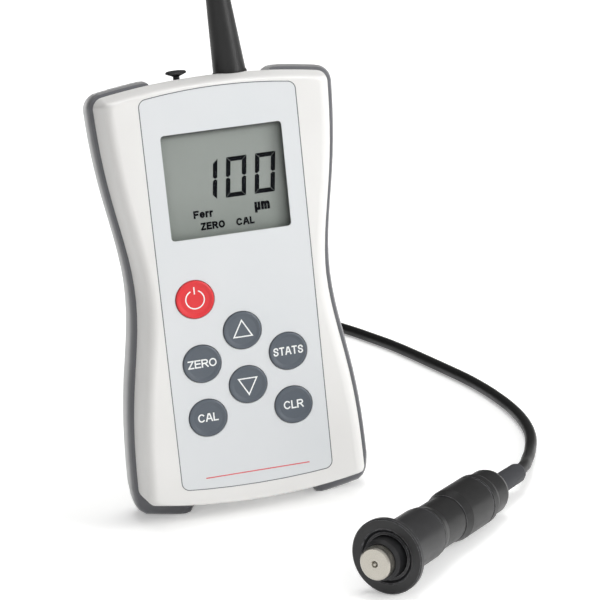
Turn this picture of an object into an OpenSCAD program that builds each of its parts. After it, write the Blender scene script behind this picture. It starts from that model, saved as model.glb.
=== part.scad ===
// Handheld coating thickness gauge standing on its side grips, with a corded probe lying before it.
// Millimetres, Z up. The gauge's front looks along -Y.

/* [Housing] */
// Lowest point of the shells
shell_lo = 0.5; // [0.3:0.1:1]
// Highest point of the shells
shell_hi = 113.1; // [112.9:0.1:114.5]
// Half width of the shells at both ends
end_half_w = 30.8; // [30:0.1:32]
// How far the waist draws in on each side
waist_in = 5.4; // [3:0.1:6]
// Height of the narrowest place
waist_z = 58.5; // [55:0.5:62]
// Height over which the waist spreads
waist_spread = 27; // [24:0.5:29]
// Radius of the arched lower end
arch_lo = 150; // [130:5:180]
// Radius of the arched upper end
arch_hi = 170; // [140:5:200]
// Corner radius of the outline
corner_r = 3; // [2.5:0.1:4]
// Depth from the front face to the back face
case_d = 25; // [25:0.1:25.5]
// Draft of the front shell's side walls, degrees
front_draft = 12; // [10:1:13]
// Radius between the front face and the side walls
front_edge_r = 3; // [2.6:0.1:3]
// Draft of the rear shell's side walls, degrees
rear_draft = 20; // [14:1:24]
// Radius between the back face and the side walls
rear_edge_r = 2.4; // [1.6:0.1:2.6]
// Share of the side walls' draw-in that the two ends have
end_share = 0.3; // [0.25:0.01:0.3]
// Fall of the upper end towards the back
top_slope = 0.15; // [0.1:0.01:0.16]
// Thickness of the front and back walls
wall = 1.8; // [1.6:0.1:1.9]

/* [Grips] */
// Front edge of the grips, measured from the parting plane
grip_front = 3.2; // [2.6:0.1:4]
// Back edge of the grips, measured from the parting plane
grip_back = 9.2; // [8.6:0.1:9.4]
// Depth of the groove that holds the grips
grip_groove = 0.9; // [0.6:0.1:1.2]
// Distance of the grip ends from the centre line
grip_end = 15.6; // [14:0.2:18]
// How far the grips stand out at the sides
grip_side = 1.7; // [1.2:0.1:1.9]
// How far the grips stand out under the gauge, before the standing flats are cut
grip_foot = 5.6; // [5.4:0.1:5.8]
// How far the grips stand out on top
grip_top = 1.6; // [1:0.1:2]

/* [Overlay and keys] */
// Half width of the keypad overlay
pad_half_w = 20.05; // [19:0.05:21]
// Lower end of the overlay on the centre line
pad_lo = 6; // [5.5:0.1:7]
// Upper end of the overlay on the centre line
pad_hi = 111.4; // [110:0.1:111.5]
// Thickness of the overlay
pad_t = 0.5; // [0.4:0.05:0.6]
// Diameter of the keys
key_d = 10; // [9:0.1:11]
// Distance of the outer key columns from the centre line
key_col = 11.4; // [11:0.1:12]
// Height of the upper row of outer keys
key_row_z = 40.2; // [39:0.1:41]
// Distance between the rows
key_pitch = 14.6; // [14:0.1:15]
// Height of the power key
power_z = 57.4; // [56.5:0.1:58]
// How far the keys stand out of the overlay
key_rise = 0.4; // [0.3:0.05:0.5]
// How far a key goes in
key_travel = 0.4; // [0.3:0.05:0.4]

/* [Display] */
// Width of the display opening
disp_w = 31.3; // [29:0.1:32]
// Height of the display opening
disp_h = 27.4; // [25:0.1:28]
// Height of the middle of the display
disp_z = 86.8; // [86:0.1:88]

/* [Top end] */
// Distance of the cable boot from the centre line
boot_x = 6; // [4:0.5:8]
// Lean of the cable boot, degrees
boot_lean = 3; // [0:0.5:4]
// Diameter of the boot at its base
boot_d = 9; // [8.4:0.1:9.6]
// Length of the boot above the shell
boot_len = 35.5; // [32:0.5:38]
// Distance of the data socket from the centre line
socket_x = 8; // [7:0.5:10]
// Head diameter of the dust plug
plug_head_d = 5.4; // [4.6:0.1:6]

/* [Probe] */
// Diameter of the guide flange
flange_d = 18.6; // [18:0.1:19]
// Diameter of the front sleeve
sleeve_d = 13.3; // [13:0.1:13.6]
// Diameter of the body
body_d = 11.9; // [11.8:0.1:12.2]
// Diameter of the collar
collar_d = 13.3; // [13:0.1:13.6]
// Diameter of the rear cap
cap_d = 11.9; // [11.6:0.1:12]
// Diameter of the bright pole face
pole_d = 8; // [7.4:0.1:8.2]
// How far the pole face stands out of the flange
pole_out = 5.9; // [5.4:0.1:6.2]
// How far the sprung head goes in
head_travel = 4; // [2:0.5:4]
// Direction of the probe, degrees away from straight back
probe_turn = 42; // [35:1:45]

/* [Cable] */
// Diameter of the cable
cable_d = 3.3; // [3:0.1:3.5]
// Diameter of the coil at the middle of the cable
coil_d = 34; // [33:1:38]

/* [Hidden] */
$fn = 64;

white = "#e9e8e4";
grip_grey = "#6d6e74";
pad_blue = "#d6dce0";
key_grey = "#5b616b";
key_red = "#cf2027";
lcd_grey = "#a9aca0";
board_green = "#2f6b46";
black = "#26262a";
boot_grey = "#55585c";
steel = "#c9c8c4";

// Where the gauge's own frame and the probe's flange stand, with the gauge lifted by its feet
gauge_at = [-18.2, 38, 3.2];
flange_at = [-1.42, -44.03];

half_d = case_d / 2;
front_y = -half_d;
back_y = half_d;
slip = 0.15;

// Shells: outline of one half, from the lowest point round the right side to the highest point
n_in = 5;
n_out = 7;
n_corner = 6;
n_side = 26;
n_half = 2 * (n_in + 1) + 2 * n_out + 1 + 2 * n_corner + n_side;
first_grip = n_in + 1;
last_grip = n_half - 2 - n_in;
corner_min = 1.2;
corner_reach = 6;
grip_step = 0.05;

function waist_w(z) = end_half_w - waist_in * exp(-pow((z - waist_z) / waist_spread, 2));
corner_w_lo = waist_w(shell_lo + corner_reach);
corner_w_hi = waist_w(shell_hi - corner_reach);
arch_lo_z = shell_lo + arch_lo;
arch_hi_z = shell_hi - arch_hi;

// Corner radius, and where the corner arc meets the arch, for sides moved out by o and an end by e
function corner_at(o) = max(corner_r + o, corner_min);
function meet_angle(w, arch, o, e) = asin((w + o - corner_at(o)) / (arch + e - corner_at(o)));
function meet_rise(w, arch, o, e) = (arch + e - corner_at(o)) * cos(meet_angle(w, arch, o, e));
function grip_angle(arch) = asin(grip_end / arch);
function down_arc(c, r, a) = c + r * [sin(a), -cos(a)];
function up_arc(c, r, a) = c + r * [sin(a), cos(a)];
function ease(u) = u * u;

function lower_half(o, e) = let (
        meet = meet_angle(corner_w_lo, arch_lo, o, e),
        from = grip_angle(arch_lo),
        c = [corner_w_lo + o - corner_at(o), arch_lo_z - meet_rise(corner_w_lo, arch_lo, o, e)])
    concat(
        [for (i = [0:n_in]) down_arc([0, arch_lo_z], arch_lo + e, from * i / n_in)],
        [for (i = [0:n_out]) down_arc([0, arch_lo_z], arch_lo + e,
            from + grip_step + (meet - from - grip_step) * ease(i / n_out))],
        [for (i = [1:n_corner]) down_arc(c, corner_at(o), meet + (90 - meet) * i / n_corner)]);

function upper_half(o, e) = let (
        meet = meet_angle(corner_w_hi, arch_hi, o, e),
        from = grip_angle(arch_hi),
        c = [corner_w_hi + o - corner_at(o), arch_hi_z + meet_rise(corner_w_hi, arch_hi, o, e)])
    concat(
        [for (i = [1:n_corner]) up_arc(c, corner_at(o), 90 - (90 - meet) * i / n_corner)],
        [for (i = [1:n_out]) up_arc([0, arch_hi_z], arch_hi + e,
            from + grip_step + (meet - from - grip_step) * ease(1 - i / n_out))],
        [for (i = [0:n_in]) up_arc([0, arch_hi_z], arch_hi + e, from * (1 - i / n_in))]);

function side_half(o, low, high) = let (
        lo = arch_lo_z - meet_rise(corner_w_lo, arch_lo, o, low),
        hi = arch_hi_z + meet_rise(corner_w_hi, arch_hi, o, high))
    [for (i = [1:n_side]) let (z = lo + (hi - lo) * i / n_side) [waist_w(z) + o, z]];

// Half outline with its sides, lower end and upper end each moved out by their own amount
function half_outline(o, low, high) =
    concat(lower_half(o, low), side_half(o, low, high), upper_half(o, high));
function mirrored(half) = concat(half, [for (i = [len(half) - 2:-1:1]) [-half[i][0], half[i][1]]]);
function under_grip(i) = i >= first_grip && i <= last_grip;

// How far the upper end has fallen at depth y
function top_fall(y) = top_slope * max(y + grip_front, 0);

// One ring of a shell at depth y, drawn in by groove where a grip lies
function shell_ring(o, y, groove = 0) = let (
        e = o * end_share,
        plain = half_outline(o, e, e - top_fall(y)),
        cut = half_outline(o - groove, e - groove, e - groove - top_fall(y)),
        half = [for (i = [0:n_half - 1]) under_grip(i) ? cut[i] : plain[i]])
    [for (p = mirrored(half)) [p[0], y, p[1]]];

// Section of a side wall: an arc off the flat face, then a straight drafted wall to the grip's edge
function edge_run(r, draft, run) = r * cos(draft) + tan(draft) * (run - r * (1 - sin(draft)));
function edge_profile(r, draft, run) = let (reach = edge_run(r, draft, run))
    concat(
        [for (i = [0:4]) let (a = (90 - draft) * i / 4) [-reach + r * sin(a), r * (1 - cos(a))]],
        [[0, run]]);

// Closed solid through rings that run anticlockwise as seen along the sweep
module loft(rings) {
    n = len(rings[0]);
    m = len(rings);
    sides = [for (k = [0:m - 2], i = [0:n - 1]) let (j = (i + 1) % n)
        [k * n + i, k * n + j, (k + 1) * n + j, (k + 1) * n + i]];
    first = [for (i = [0:n - 1]) n - 1 - i];
    last = [for (i = [0:n - 1]) (m - 1) * n + i];
    polyhedron([for (r = rings) each r], concat(sides, [first, last]), convexity = 6);
}

module at_gauge() {
    translate(gauge_at) children();
}

// Straight prism between two depths, from an outline in width and height
module slab(y0, y1) {
    translate([0, y1, 0]) rotate([90, 0, 0]) linear_extrude(y1 - y0) children();
}

module peg(x, z, r, y0, y1) {
    translate([x, y1, z]) rotate([90, 0, 0]) cylinder(r = r, h = y1 - y0);
}

module round_rect(w, h, r) {
    for (x = [-1, 1], y = [-1, 1])
        translate([x * (w / 2 - r), y * (h / 2 - r)]) circle(r);
    square([w, h - 2 * r], center = true);
    square([w - 2 * r, h], center = true);
}

module shell_outline(side, top) {
    polygon(mirrored(half_outline(-side, -side, -top)));
}

// Overlay outline: straight sides, arched ends and round corners, grown all round for its recess
pad_arch_lo = 200;
pad_arch_hi = 134;
pad_corner = 2;
module pad_outline(grow = 0) {
    offset(r = pad_corner + grow) offset(delta = -pad_corner) intersection() {
        translate([-pad_half_w, 0]) square([2 * pad_half_w, shell_hi]);
        translate([0, pad_lo + pad_arch_lo]) circle(pad_arch_lo, $fn = 180);
        translate([0, pad_hi - pad_arch_hi]) circle(pad_arch_hi, $fn = 180);
    }
}

// Stack behind the front face
wall_back = front_y + pad_t + wall;
board_front = -7.9;
board_t = 1.2;
board_back = board_front + board_t;
window_t = 1;
window_lip = 1.6;
lcd_front = wall_back + 0.05;
lcd_t = 1.6;
lcd_lip = 2;
frame_lip = 1;
hole_gap = 0.2;

key_at = [
    ["power", -key_col, power_z],
    ["up", 0, key_row_z + key_pitch / 2],
    ["down", 0, key_row_z - key_pitch / 2],
    ["zero", -key_col, key_row_z],
    ["stats", key_col, key_row_z],
    ["cal", -key_col, key_row_z - key_pitch],
    ["clear", key_col, key_row_z - key_pitch]];

// Screws, posts and battery bay
screw_x = 22.4;
screw_z = [13.5, 102.5];
screw_r = 1.25;
screw_head_r = 2.5;
screw_head_t = 1.8;
screw_sink = 3.2;
boss_r = 3;
post_x = 15.6;
post_z = [17.5, 66.5];
post_r = 1.6;
pin_r = 0.9;
bay_lo = 9;
battery_w = 26.5;
battery_t = 17.5;
battery_h = 48.5;
battery_y = board_back + 0.2;
door_half_w = 14.2;
door_lo = 7.6;
door_hi = 63.4;
door_t = 1.4;
door_gap = 0.25;
rail_in = battery_w / 2 + 0.25;
rail_w = 2.6;
rail_front = 4;
rail_back = back_y - door_t - 0.05;
shelf_t = 1.2;
shelf_back = 10.8;
cavity_front = 4.6;
cavity_rear = 3.6;
cavity_rear_top = 5.8;

module screw_places() {
    for (x = [-screw_x, screw_x], z = screw_z) translate([x, 0, z]) children();
}

// Frame of the leaning boot, with its origin in its seat in the upper end
boot_sink = 2.2;
module at_boot() {
    translate([boot_x, 0, shell_hi - boot_sink]) rotate([0, -boot_lean, 0]) children();
}

boot_neck_r = 3.4;
boot_rim = 1.8;
socket_r = 1.25;
module top_holes() {
    at_boot() translate([0, 0, -8]) cylinder(r = boot_neck_r + hole_gap, h = 12);
    at_boot() cylinder(r = boot_d / 2 + hole_gap, h = 6);
    translate([-socket_x, 0, shell_hi - 9]) cylinder(r = socket_r + hole_gap, h = 12);
}

module front_shell() {
    profile = edge_profile(front_edge_r, front_draft, half_d - grip_front);
    rings = concat(
        [for (p = profile) shell_ring(p[0], front_y + p[1])],
        [shell_ring(0, -grip_front, grip_groove), shell_ring(0, 0, grip_groove)]);
    color(white) at_gauge() {
        difference() {
            loft(rings);
            slab(wall_back, 1) shell_outline(cavity_front, cavity_front);
            slab(front_y - 1, front_y + pad_t) pad_outline(0.25);
            slab(front_y - 1, 0) translate([0, disp_z])
                round_rect(disp_w + window_lip, disp_h + window_lip, 1);
            slab(front_y - 1, front_y + pad_t + window_t) translate([0, disp_z])
                square([disp_w + 2 * window_lip, disp_h + 2 * window_lip], center = true);
            for (k = key_at) peg(k[1], k[2], key_d / 2 + hole_gap, front_y - 1, 0);
            top_holes();
        }
        difference() {
            screw_places() peg(0, 0, boss_r, wall_back - 0.2, 0);
            screw_places() peg(0, 0, screw_r + 0.05, wall_back + 1, 1);
        }
        for (x = [-post_x, post_x], z = post_z) {
            peg(x, z, post_r, wall_back - 0.2, board_front);
            peg(x, z, pin_r, board_front - 0.2, board_back + 0.6);
        }
    }
}

module rear_shell() {
    profile = edge_profile(rear_edge_r, rear_draft, half_d - grip_back);
    rings = concat(
        [shell_ring(0, 0, grip_groove), shell_ring(0, grip_back, grip_groove)],
        [for (i = [len(profile) - 1:-1:0]) shell_ring(profile[i][0], back_y - profile[i][1])]);
    color(white) at_gauge() {
        difference() {
            union() {
                difference() {
                    loft(rings);
                    slab(-1, back_y - wall) shell_outline(cavity_rear, cavity_rear_top);
                }
                screw_places() peg(0, 0, boss_r, 0.02, back_y - wall + 0.2);
            }
            screw_places() peg(0, 0, screw_r + hole_gap, -1, back_y + 1);
            screw_places() peg(0, 0, screw_head_r + hole_gap, back_y - screw_sink, back_y + 1);
            slab(back_y - wall - 0.5, back_y + 1) translate([0, (door_lo + door_hi) / 2])
                square([2 * (door_half_w + door_gap), door_hi - door_lo + 2 * door_gap], center = true);
            top_holes();
        }
        for (side = [0, 1]) mirror([side, 0, 0])
            translate([rail_in, rail_front, bay_lo - shelf_t])
                cube([rail_w, rail_back - rail_front, battery_h]);
        translate([-rail_in - 0.1, rail_front, bay_lo - shelf_t])
            cube([2 * rail_in + 0.2, shelf_back - rail_front, shelf_t]);
    }
}

// Side grip: a crowned band in the groove, with round ends and standing flats cut under it
grip_n = 9;
grip_crown = 0.62;
grip_round = 2.2;
grip_gap = 0.05;
function grip_stand(step) = grip_side + (grip_foot - grip_side) * pow(max(-step[1], 0), 3)
    + (grip_top - grip_side) * pow(max(step[1], 0), 3);
function grip_taper(p) = let (u = min((abs(p[0]) - grip_end) / grip_round, 1)) sqrt(1 - (1 - u) * (1 - u));
function grip_section(stand) = let (
        y0 = -grip_front + grip_gap,
        y1 = grip_back - grip_gap,
        mid = (y0 + y1) / 2,
        half = (y1 - y0) / 2)
    concat(
        [[grip_gap - grip_groove, y1]],
        [for (i = [0:grip_n]) let (a = 180 * i / grip_n)
            [stand * pow(sin(a), grip_crown), mid + half * sign(cos(a)) * pow(abs(cos(a)), grip_crown)]],
        [[grip_gap - grip_groove, y0]]);

module grip_right_body() {
    base = [for (s = grip_section(1)) half_outline(0, 0, -top_fall(s[1]))];
    out = half_outline(1, 1, 1);
    mid = half_outline(0, 0, 0);
    rings = [for (i = [first_grip:last_grip]) let (
            step = out[i] - mid[i],
            section = grip_section(grip_stand(step) * grip_taper(mid[i])))
        [for (k = [0:len(section) - 1]) let (s = section[k], p = base[k][i])
            [p[0] + step[0] * s[0], s[1], p[1] + step[1] * s[0]]]];
    difference() {
        loft(rings);
        translate([0, -half_d, -10 - gauge_at[2]]) cube([2 * end_half_w, case_d, 10]);
    }
}

module grip_right() {
    color(grip_grey) at_gauge() grip_right_body();
}

module grip_left() {
    color(grip_grey) at_gauge() mirror([1, 0, 0]) grip_right_body();
}

module keypad_overlay() {
    color(pad_blue) at_gauge() difference() {
        slab(front_y, front_y + pad_t) pad_outline();
        slab(front_y - 1, 0) translate([0, disp_z]) round_rect(disp_w, disp_h, 1);
        for (k = key_at) peg(k[1], k[2], key_d / 2 + slip, front_y - 1, 0);
    }
}

module display_window() {
    w = disp_w + 2 * window_lip - 2 * slip;
    h = disp_h + 2 * window_lip - 2 * slip;
    color(pad_blue, 0.3) at_gauge()
        slab(front_y + pad_t, front_y + pad_t + window_t) translate([0, disp_z]) round_rect(w, h, 0.8);
}

// Key: dished cap, a rim that keeps it behind the wall, and a stem that meets the dome
key_rim = 1;
key_rim_t = 0.6;
key_dish = 0.25;
stem_r = 1.6;
dome_h = 0.4;
module key_cap(name) {
    k = key_at[search([name], key_at)[0]];
    front = front_y - key_rise;
    rim = wall_back + 0.02;
    stem_end = board_front - dome_h - key_travel - 0.05;
    r = key_d / 2;
    at_gauge() translate([k[1], 0, k[2]]) rotate([-90, 0, 0]) rotate_extrude() polygon([
        [0, front + key_dish], [r - 1.3, front + key_dish], [r - 0.55, front], [r - 0.3, front],
        [r - 0.08, front + 0.1], [r, front + 0.35], [r, rim], [r + key_rim, rim],
        [r + key_rim, rim + key_rim_t], [stem_r, rim + key_rim_t], [stem_r, stem_end], [0, stem_end]]);
}

module key_power() { color(key_red) key_cap("power"); }
module key_up() { color(key_grey) key_cap("up"); }
module key_down() { color(key_grey) key_cap("down"); }
module key_zero() { color(key_grey) key_cap("zero"); }
module key_stats() { color(key_grey) key_cap("stats"); }
module key_cal() { color(key_grey) key_cap("cal"); }
module key_clear() { color(key_grey) key_cap("clear"); }

lcd_w = disp_w + 2 * lcd_lip;
lcd_h = disp_h + 2 * lcd_lip;
module lcd_panel() {
    color(lcd_grey) at_gauge() translate([-lcd_w / 2, lcd_front, disp_z - lcd_h / 2])
        cube([lcd_w, lcd_t, lcd_h]);
}

module lcd_frame() {
    w = lcd_w + 2 * slip;
    h = lcd_h + 2 * slip;
    color(black) at_gauge() difference() {
        slab(lcd_front + 0.1, board_front) translate([0, disp_z])
            round_rect(w + 2 * frame_lip, h + 2 * frame_lip, 1);
        slab(lcd_front - 1, 0) translate([0, disp_z]) square([w, h], center = true);
    }
}

strip_h = 1.8;
module contact_strips() {
    y = lcd_front + lcd_t;
    color(boot_grey) at_gauge() for (s = [-1, 1])
        translate([-lcd_w / 2 + 1, y, disp_z + s * (lcd_h / 2 - strip_h) - strip_h / 2])
            cube([lcd_w - 2, board_front - y, strip_h]);
}

board_half_w = 17.6;
board_lo = 13.5;
board_hi = 104.5;
module main_board() {
    color(board_green) at_gauge() difference() {
        slab(board_front, board_back) translate([0, (board_lo + board_hi) / 2])
            round_rect(2 * board_half_w, board_hi - board_lo, 1.5);
        for (x = [-post_x, post_x], z = post_z) peg(x, z, pin_r + slip, board_front - 1, 0);
    }
}

dome_r = 4;
module key_domes() {
    color(steel) at_gauge() for (k = key_at)
        translate([k[1], board_front, k[2]]) rotate([90, 0, 0]) rotate_extrude()
            polygon([[0, 0], [dome_r, 0], [dome_r - 0.6, 0.2], [2, dome_h - 0.05], [0, dome_h]]);
}

module board_chips() {
    color(black) at_gauge() {
        translate([-5, board_back, 84]) cube([10, 1.6, 10]);
        translate([-14, board_back, 72]) cube([5, 1.5, 4]);
        translate([6, board_back, 70]) cube([4, 1.5, 5]);
        translate([8, board_back, 96]) cube([3.2, 3.4, 7]);
    }
}

stud_at = 6.35;
module battery_block() {
    top = bay_lo + battery_h;
    mid = battery_y + battery_t / 2;
    color(steel) at_gauge() {
        translate([0, mid, bay_lo]) linear_extrude(battery_h) round_rect(battery_w, battery_t, 2.2);
        translate([-stud_at, mid, top - 0.1]) cylinder(r = 2.85, h = 2.4);
        translate([stud_at, mid, top - 0.1]) cylinder(r = 4, h = 2.4, $fn = 6);
    }
}

module battery_clip() {
    z = bay_lo + battery_h + slip;
    mid = battery_y + battery_t / 2;
    color(black) at_gauge() difference() {
        translate([0, mid, z]) linear_extrude(3.6) round_rect(25, 12.4, 3);
        translate([-stud_at, mid, z - 1]) cylinder(r = 2.85 + slip, h = 3.4);
        translate([stud_at, mid, z - 1]) cylinder(r = 4 + slip, h = 3.4);
    }
}

// Battery door: turns about the round bead on its lower edge, with finger ridges near the top
door_bead = door_t / 2;
door_pivot = [back_y - door_bead, door_lo + door_bead];
ridge_n = 5;
ridge_pitch = 2.4;
module battery_door() {
    y0 = back_y - door_t;
    color(white) at_gauge() {
        difference() {
            slab(y0, back_y) translate([0, (door_lo + door_bead + door_hi) / 2])
                square([2 * door_half_w, door_hi - door_lo - door_bead], center = true);
            for (i = [0:ridge_n - 1])
                translate([-7, back_y - 0.45, door_hi - 6 - i * ridge_pitch]) cube([14, 1, 1.1]);
        }
        translate([-door_half_w, door_pivot[0], door_pivot[1]])
            rotate([0, 90, 0]) cylinder(r = door_bead, h = 2 * door_half_w);
    }
}

module case_screws() {
    seat = back_y - screw_sink;
    color(steel) at_gauge() screw_places() difference() {
        union() {
            peg(0, 0, screw_r, wall_back + 2, seat + 0.1);
            peg(0, 0, screw_head_r, seat, seat + screw_head_t);
        }
        for (a = [0, 90])
            translate([0, seat + screw_head_t, 0]) rotate([0, a, 0])
                cube([3, 1.6, 0.6], center = true);
    }
}

module data_socket() {
    color(black) at_gauge() difference() {
        translate([-socket_x - 3, board_back, shell_hi - 15]) cube([6, 3 - board_back, 8.4]);
        translate([-socket_x, 0, shell_hi - 14.4]) cylinder(r = socket_r, h = 12);
    }
}

// Dust plug: pin in the socket, slim neck and a dished pull disc
module dust_plug() {
    top = shell_hi + 1.4;
    r = plug_head_d / 2;
    color(black) at_gauge() translate([-socket_x, 0, 0]) rotate_extrude() polygon([
        [0, shell_hi - 11.4], [socket_r - 0.3, shell_hi - 11.4], [socket_r - 0.05, shell_hi - 10.8],
        [socket_r - 0.05, shell_hi - 1.2], [0.85, shell_hi - 1], [0.85, top - 1.25], [1.4, top - 1],
        [r, top - 0.45], [r, top - 0.15], [r - 0.15, top], [0, top]]);
}

module cable_boot() {
    r = boot_d / 2;
    end_r = cable_d / 2 + 0.75;
    color(black) at_gauge() at_boot() rotate_extrude() polygon([
        [0, -6.4], [5.2, -6.4], [5.2, -4.4], [boot_neck_r, -4.4], [boot_neck_r, 0.1],
        [r, 0.1], [r, boot_rim], [r - 0.25, boot_rim + 0.4], [3, 23],
        [end_r, boot_len], [end_r - 0.4, boot_len + 0.8], [0, boot_len + 0.8]]);
}

// Probe: turned parts along one axis, measured back from the plane of the flange's face
rim_t = 1.4;
joint_s = 18.2;
shoulder_s = 21.7;
collar_s = 31;
collar_full = 34;
cap_s = 45.9;
tenon_s = 47.6;
step_s = 50;
body_end = 53.2;
cap_end = 57.8;
boot_end = 74.8;
wire_s = 40;
fit = 0.03;
recess_r = 6.8;
recess_s = 1.8;
cone_s = 2.6;
head_r = 5;
bore_r = 5.15;
spigot = 3.7;
tenon_r = 4.8;
spring_bore = 4.4;
anchor_r = 3.6;
anchor_s = 50.8;
neck_r = 2.3;
shaft_r = 2.6;
head_back = 7;
coil_front = 1;
cup_floor = head_back - 1.2;
shaft_end = 26;
spring_back = 20;
cup_r = pole_d / 2 + fit;
sleeve_r = sleeve_d / 2;
collar_r = collar_d / 2;
cap_r = cap_d / 2;
body_r = body_d / 2;
flange_r = flange_d / 2;

// The probe lies on its flange and on the collar's or the cap's rear edge, whichever it meets first
collar_seat = step_s - 1.6;
cap_seat = cap_end - 2.4;
lean = min(
    atan((flange_r - collar_r) / (collar_seat - rim_t)),
    atan((flange_r - cap_r) / (cap_seat - rim_t)));
flange_z = flange_r * cos(lean) + rim_t * sin(lean);

module at_probe() {
    translate([flange_at[0], flange_at[1], flange_z]) rotate([0, 90 + lean, 90 - probe_turn]) children();
}

module turned(profile) {
    at_probe() rotate_extrude() polygon(profile);
}

module probe_sleeve() {
    color(black) turned([
        [recess_r, 0], [flange_r - 0.3, 0], [flange_r, 0.3], [flange_r, rim_t],
        [flange_r - 0.4, rim_t + 0.25],
        [sleeve_r + 1.2, cone_s], [sleeve_r, cone_s + 1.2], [sleeve_r, joint_s - 0.15],
        [sleeve_r - 0.15, joint_s], [bore_r, joint_s], [bore_r, recess_s], [recess_r - 1, recess_s]]);
}

module probe_body() {
    color(black) turned([
        [bore_r - fit, joint_s - spigot], [bore_r - fit, joint_s + 0.15], [sleeve_r - 0.3, joint_s + 0.15],
        [sleeve_r - 0.1, joint_s + 0.4], [sleeve_r - 0.2, joint_s + 1.4], [body_r, shoulder_s],
        [body_r, tenon_s], [tenon_r, tenon_s], [tenon_r, body_end], [anchor_r + slip, body_end],
        [anchor_r + slip, wire_s], [shaft_r + slip, wire_s - 1], [shaft_r + slip, spring_back],
        [spring_bore, spring_back],
        [spring_bore, joint_s - spigot]]);
}

module probe_collar() {
    inner = body_r + fit;
    color(black) turned([
        [inner, collar_s], [inner + 0.1, collar_s], [collar_r, collar_full], [collar_r, cap_s - 0.4],
        [collar_r - 0.25, cap_s - 0.15], [inner, cap_s - 0.15]]);
}

module probe_cap() {
    inner = body_r + fit;
    color(black) turned([
        [inner, cap_s], [collar_r - 0.25, cap_s], [collar_r - 0.25, cap_s + 0.2], [collar_r, cap_s + 0.4],
        [collar_r, collar_seat], [collar_r - 0.15, collar_seat + 0.4], [cap_r + 0.1, step_s],
        [cap_r, step_s + 0.3],
        [cap_r, cap_seat], [cap_r - 0.35, cap_end - 1.2], [cap_r - 1, cap_end - 0.4], [cap_r - 1.9, cap_end],
        [neck_r + 0.1, cap_end], [neck_r + 0.1, body_end + 0.2], [tenon_r + fit, body_end + 0.2],
        [tenon_r + fit, tenon_s + 0.1], [inner, tenon_s + 0.1]]);
}

module probe_boot() {
    r = 2.7;
    color(boot_grey) turned([
        [0, anchor_s], [anchor_r, anchor_s], [anchor_r, body_end - 0.1], [neck_r, body_end + 0.1],
        [neck_r, cap_end + 0.1], [r, cap_end + 0.1], [r - 0.1, boot_end - 1.4], [r - 0.35, boot_end - 0.4],
        [r - 0.8, boot_end], [0, boot_end]]);
}

// Sprung head: a cup on a guide shaft, closed in front by the pole face
pole_side = 2.6;
module probe_head() {
    front = -pole_out + pole_side;
    color(black) turned([
        [cup_r, front], [head_r - 0.7, front], [head_r, front + 0.8], [head_r, head_back],
        [shaft_r, head_back], [shaft_r, shaft_end], [shaft_r - 0.5, shaft_end + 0.5], [0, shaft_end + 0.5],
        [0, cup_floor], [cup_r, cup_floor]]);
}

tip_r = 0.5;
module pole_face() {
    r = pole_d / 2;
    color(steel) turned([
        [tip_r + fit, -pole_out + 0.45], [tip_r + 0.35, -pole_out], [r - 0.35, -pole_out],
        [r, -pole_out + 0.35], [r, coil_front], [tip_r + fit, coil_front]]);
}

module contact_tip() {
    color(steel) turned(concat(
        [for (a = [0:15:90]) [tip_r * sin(a), -pole_out + 0.3 - tip_r * cos(a)]],
        [[tip_r, coil_front], [0, coil_front]]));
}

module sensor_coil() {
    inner = tip_r + fit;
    outer = cup_r - fit;
    color("#b87333") turned([
        [inner, coil_front], [outer, coil_front], [outer, cup_floor], [inner, cup_floor]]);
}

// Tubes: rings of points square to the route, with the tangent from the neighbouring points
function unit(v) = v / norm(v);
function tangent(p, i) = unit(p[min(i + 1, len(p) - 1)] - p[max(i - 1, 0)]);
function side_of(t) = unit(cross(t, abs(t[2]) > 0.8 ? [0, 1, 0] : [0, 0, 1]));
function tube_ring(c, t, ref, r, n) = let (u = unit(ref - (ref * t) * t), v = cross(t, u))
    [for (i = [0:n - 1]) let (a = 360 * i / n) c + r * (cos(a) * u + sin(a) * v)];
function carry(p, i) = i == 0 ? side_of(tangent(p, 0)) :
    let (before = carry(p, i - 1), t = tangent(p, i)) unit(before - (before * t) * t);
module tube(p, r, n) {
    loft([for (i = [0:len(p) - 1]) tube_ring(p[i], tangent(p, i), carry(p, i), r, n)]);
}

// Smooth curve through hand-chosen points
function curve_at(a, b, c, d, u) =
    b + u / 2 * (c - a + u * (2 * a - 5 * b + 4 * c - d + u * (3 * (b - c) + d - a)));
function smooth(p, n) = concat(
    [for (i = [0:len(p) - 2], k = [0:n - 1])
        curve_at(p[max(i - 1, 0)], p[i], p[i + 1], p[min(i + 2, len(p) - 1)], k / n)],
    [p[len(p) - 1]]);

spring_r = 3.5;
spring_wire = 0.4;
spring_turns = 6;
spring_steps = 14;
module probe_spring() {
    z0 = head_back + spring_wire + 0.05;
    z1 = spring_back - spring_wire - 0.05;
    path = [for (i = [0:spring_turns * spring_steps]) let (a = 360 * i / spring_steps)
        [spring_r * cos(a), spring_r * sin(a), z0 + (z1 - z0) * i / (spring_turns * spring_steps)]];
    color(steel) at_probe() tube(path, spring_wire, 5);
}

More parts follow.
